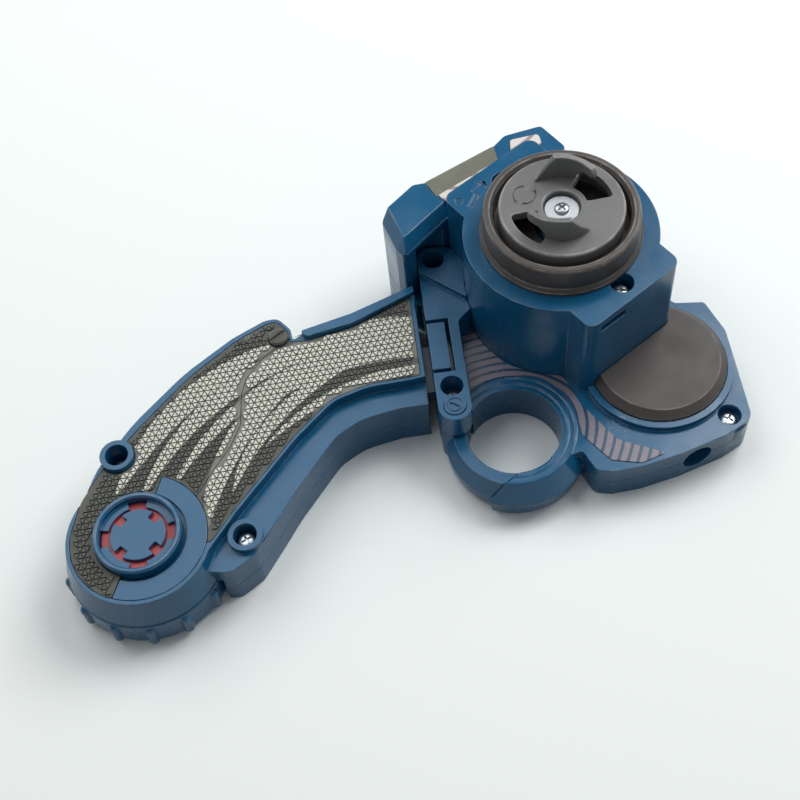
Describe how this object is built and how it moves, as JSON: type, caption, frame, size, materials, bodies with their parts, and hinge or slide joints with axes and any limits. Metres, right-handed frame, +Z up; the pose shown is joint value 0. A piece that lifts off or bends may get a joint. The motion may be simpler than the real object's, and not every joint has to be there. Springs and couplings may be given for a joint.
{
  "type": "spinning top launcher",
  "caption": "Hand-held launcher for spinning tops: a head with a clawed disc on a round tower, a finger ring with a swinging gate, a latch and a grip with a ribbed dial.",
  "frame": {"origin": "point on the underside below the claw axis", "axes": "+Z up along the claw axis from the underside to the claws, +X to the head's right side, -X out along the grip"},
  "size_m": [0.1878, 0.1288, 0.0628],
  "materials": {
    "blue_abs": "satin blue ABS moulding",
    "warm_grey_abs": "dark warm grey ABS moulding",
    "disc_grey_abs": "mid grey acetal moulding",
    "white_acetal": "natural white acetal",
    "window_grey": "grey-green smooth plastic",
    "label_silver": "silver pink printed film",
    "foil_silver": "silver printed film",
    "pad_grey": "matt olive grey elastomer",
    "red_abs": "red ABS moulding",
    "zinc_steel": "zinc plated steel"
  },
  "bodies": {
    "launcher": {"head_lower_shell": "blue_abs", "head_upper_shell": "blue_abs", "tower_housing": "blue_abs", "launch_collar": "warm_grey_abs", "round_cover": "warm_grey_abs", "pod_housing": "blue_abs", "pod_window": "window_grey", "pod_label": "label_silver", "deck_foil": "foil_silver", "bracket": "blue_abs", "latch_spring": "zinc_steel", "gate_pivot_pin": "blue_abs", "gate_spring": "zinc_steel", "tower_screws": "zinc_steel", "head_screws": "zinc_steel", "bracket_screws": "zinc_steel", "upper_bush": "white_acetal", "lower_bush": "white_acetal", "grip_upper_shell": "blue_abs", "grip_lower_shell": "blue_abs", "palm_pad": "pad_grey", "thumb_pad": "pad_grey", "pad_stud": "pad_grey", "arc_plate": "blue_abs", "dial_bezel": "blue_abs", "click_ball": "zinc_steel", "click_spring": "zinc_steel", "grip_screws": "zinc_steel"},
    "claw_rotor": {"claw_disc": "disc_grey_abs", "claw_washer": "zinc_steel", "claw_screw": "zinc_steel", "claw_spindle": "white_acetal", "ratchet_cup": "white_acetal"},
    "pinion": {"drive_pinion": "white_acetal", "clutch_pawls": "white_acetal"},
    "gate": {"gate_upper": "blue_abs", "gate_lower": "blue_abs"},
    "latch": {"latch_button": "blue_abs"},
    "dial": {"dial_wheel": "blue_abs", "indicator_ring": "red_abs", "dial_hub": "blue_abs", "dial_screw": "zinc_steel"}
  },
  "joints": [
    {"name": "claw_spin", "type": "hinge", "parent": "launcher", "child": "claw_rotor", "pos_m": [0, 0, 0.05], "axis": [0, 0, 1], "continuous": true},
    {"name": "pinion_spin", "type": "hinge", "parent": "launcher", "child": "pinion", "pos_m": [0, 0, 0.04], "axis": [0, 0, 1], "continuous": true},
    {"name": "gate_swing", "type": "hinge", "parent": "launcher", "child": "gate", "pos_m": [-0.0343, -0.037, 0.007], "axis": [0, 0, 1], "range_deg": [0, 25], "stiffness_Nm_per_rad": 0.02, "springref_deg": -17.19},
    {"name": "latch_press", "type": "slide", "parent": "launcher", "child": "latch", "axis": [0, 0, -1], "range_m": [0, 0.0015], "stiffness_N_per_m": 400, "springref_m": -0.001, "deforming": ["latch_spring"]},
    {"name": "dial_turn", "type": "hinge", "parent": "launcher", "child": "dial", "pos_m": [-0.1206, -0.0628, 0.005], "axis": [0, 0, 1], "continuous": true}
  ],
  "couplings": [
    {"joint": "pinion_spin", "follows": "claw_spin", "ratio": 1}
  ]
}
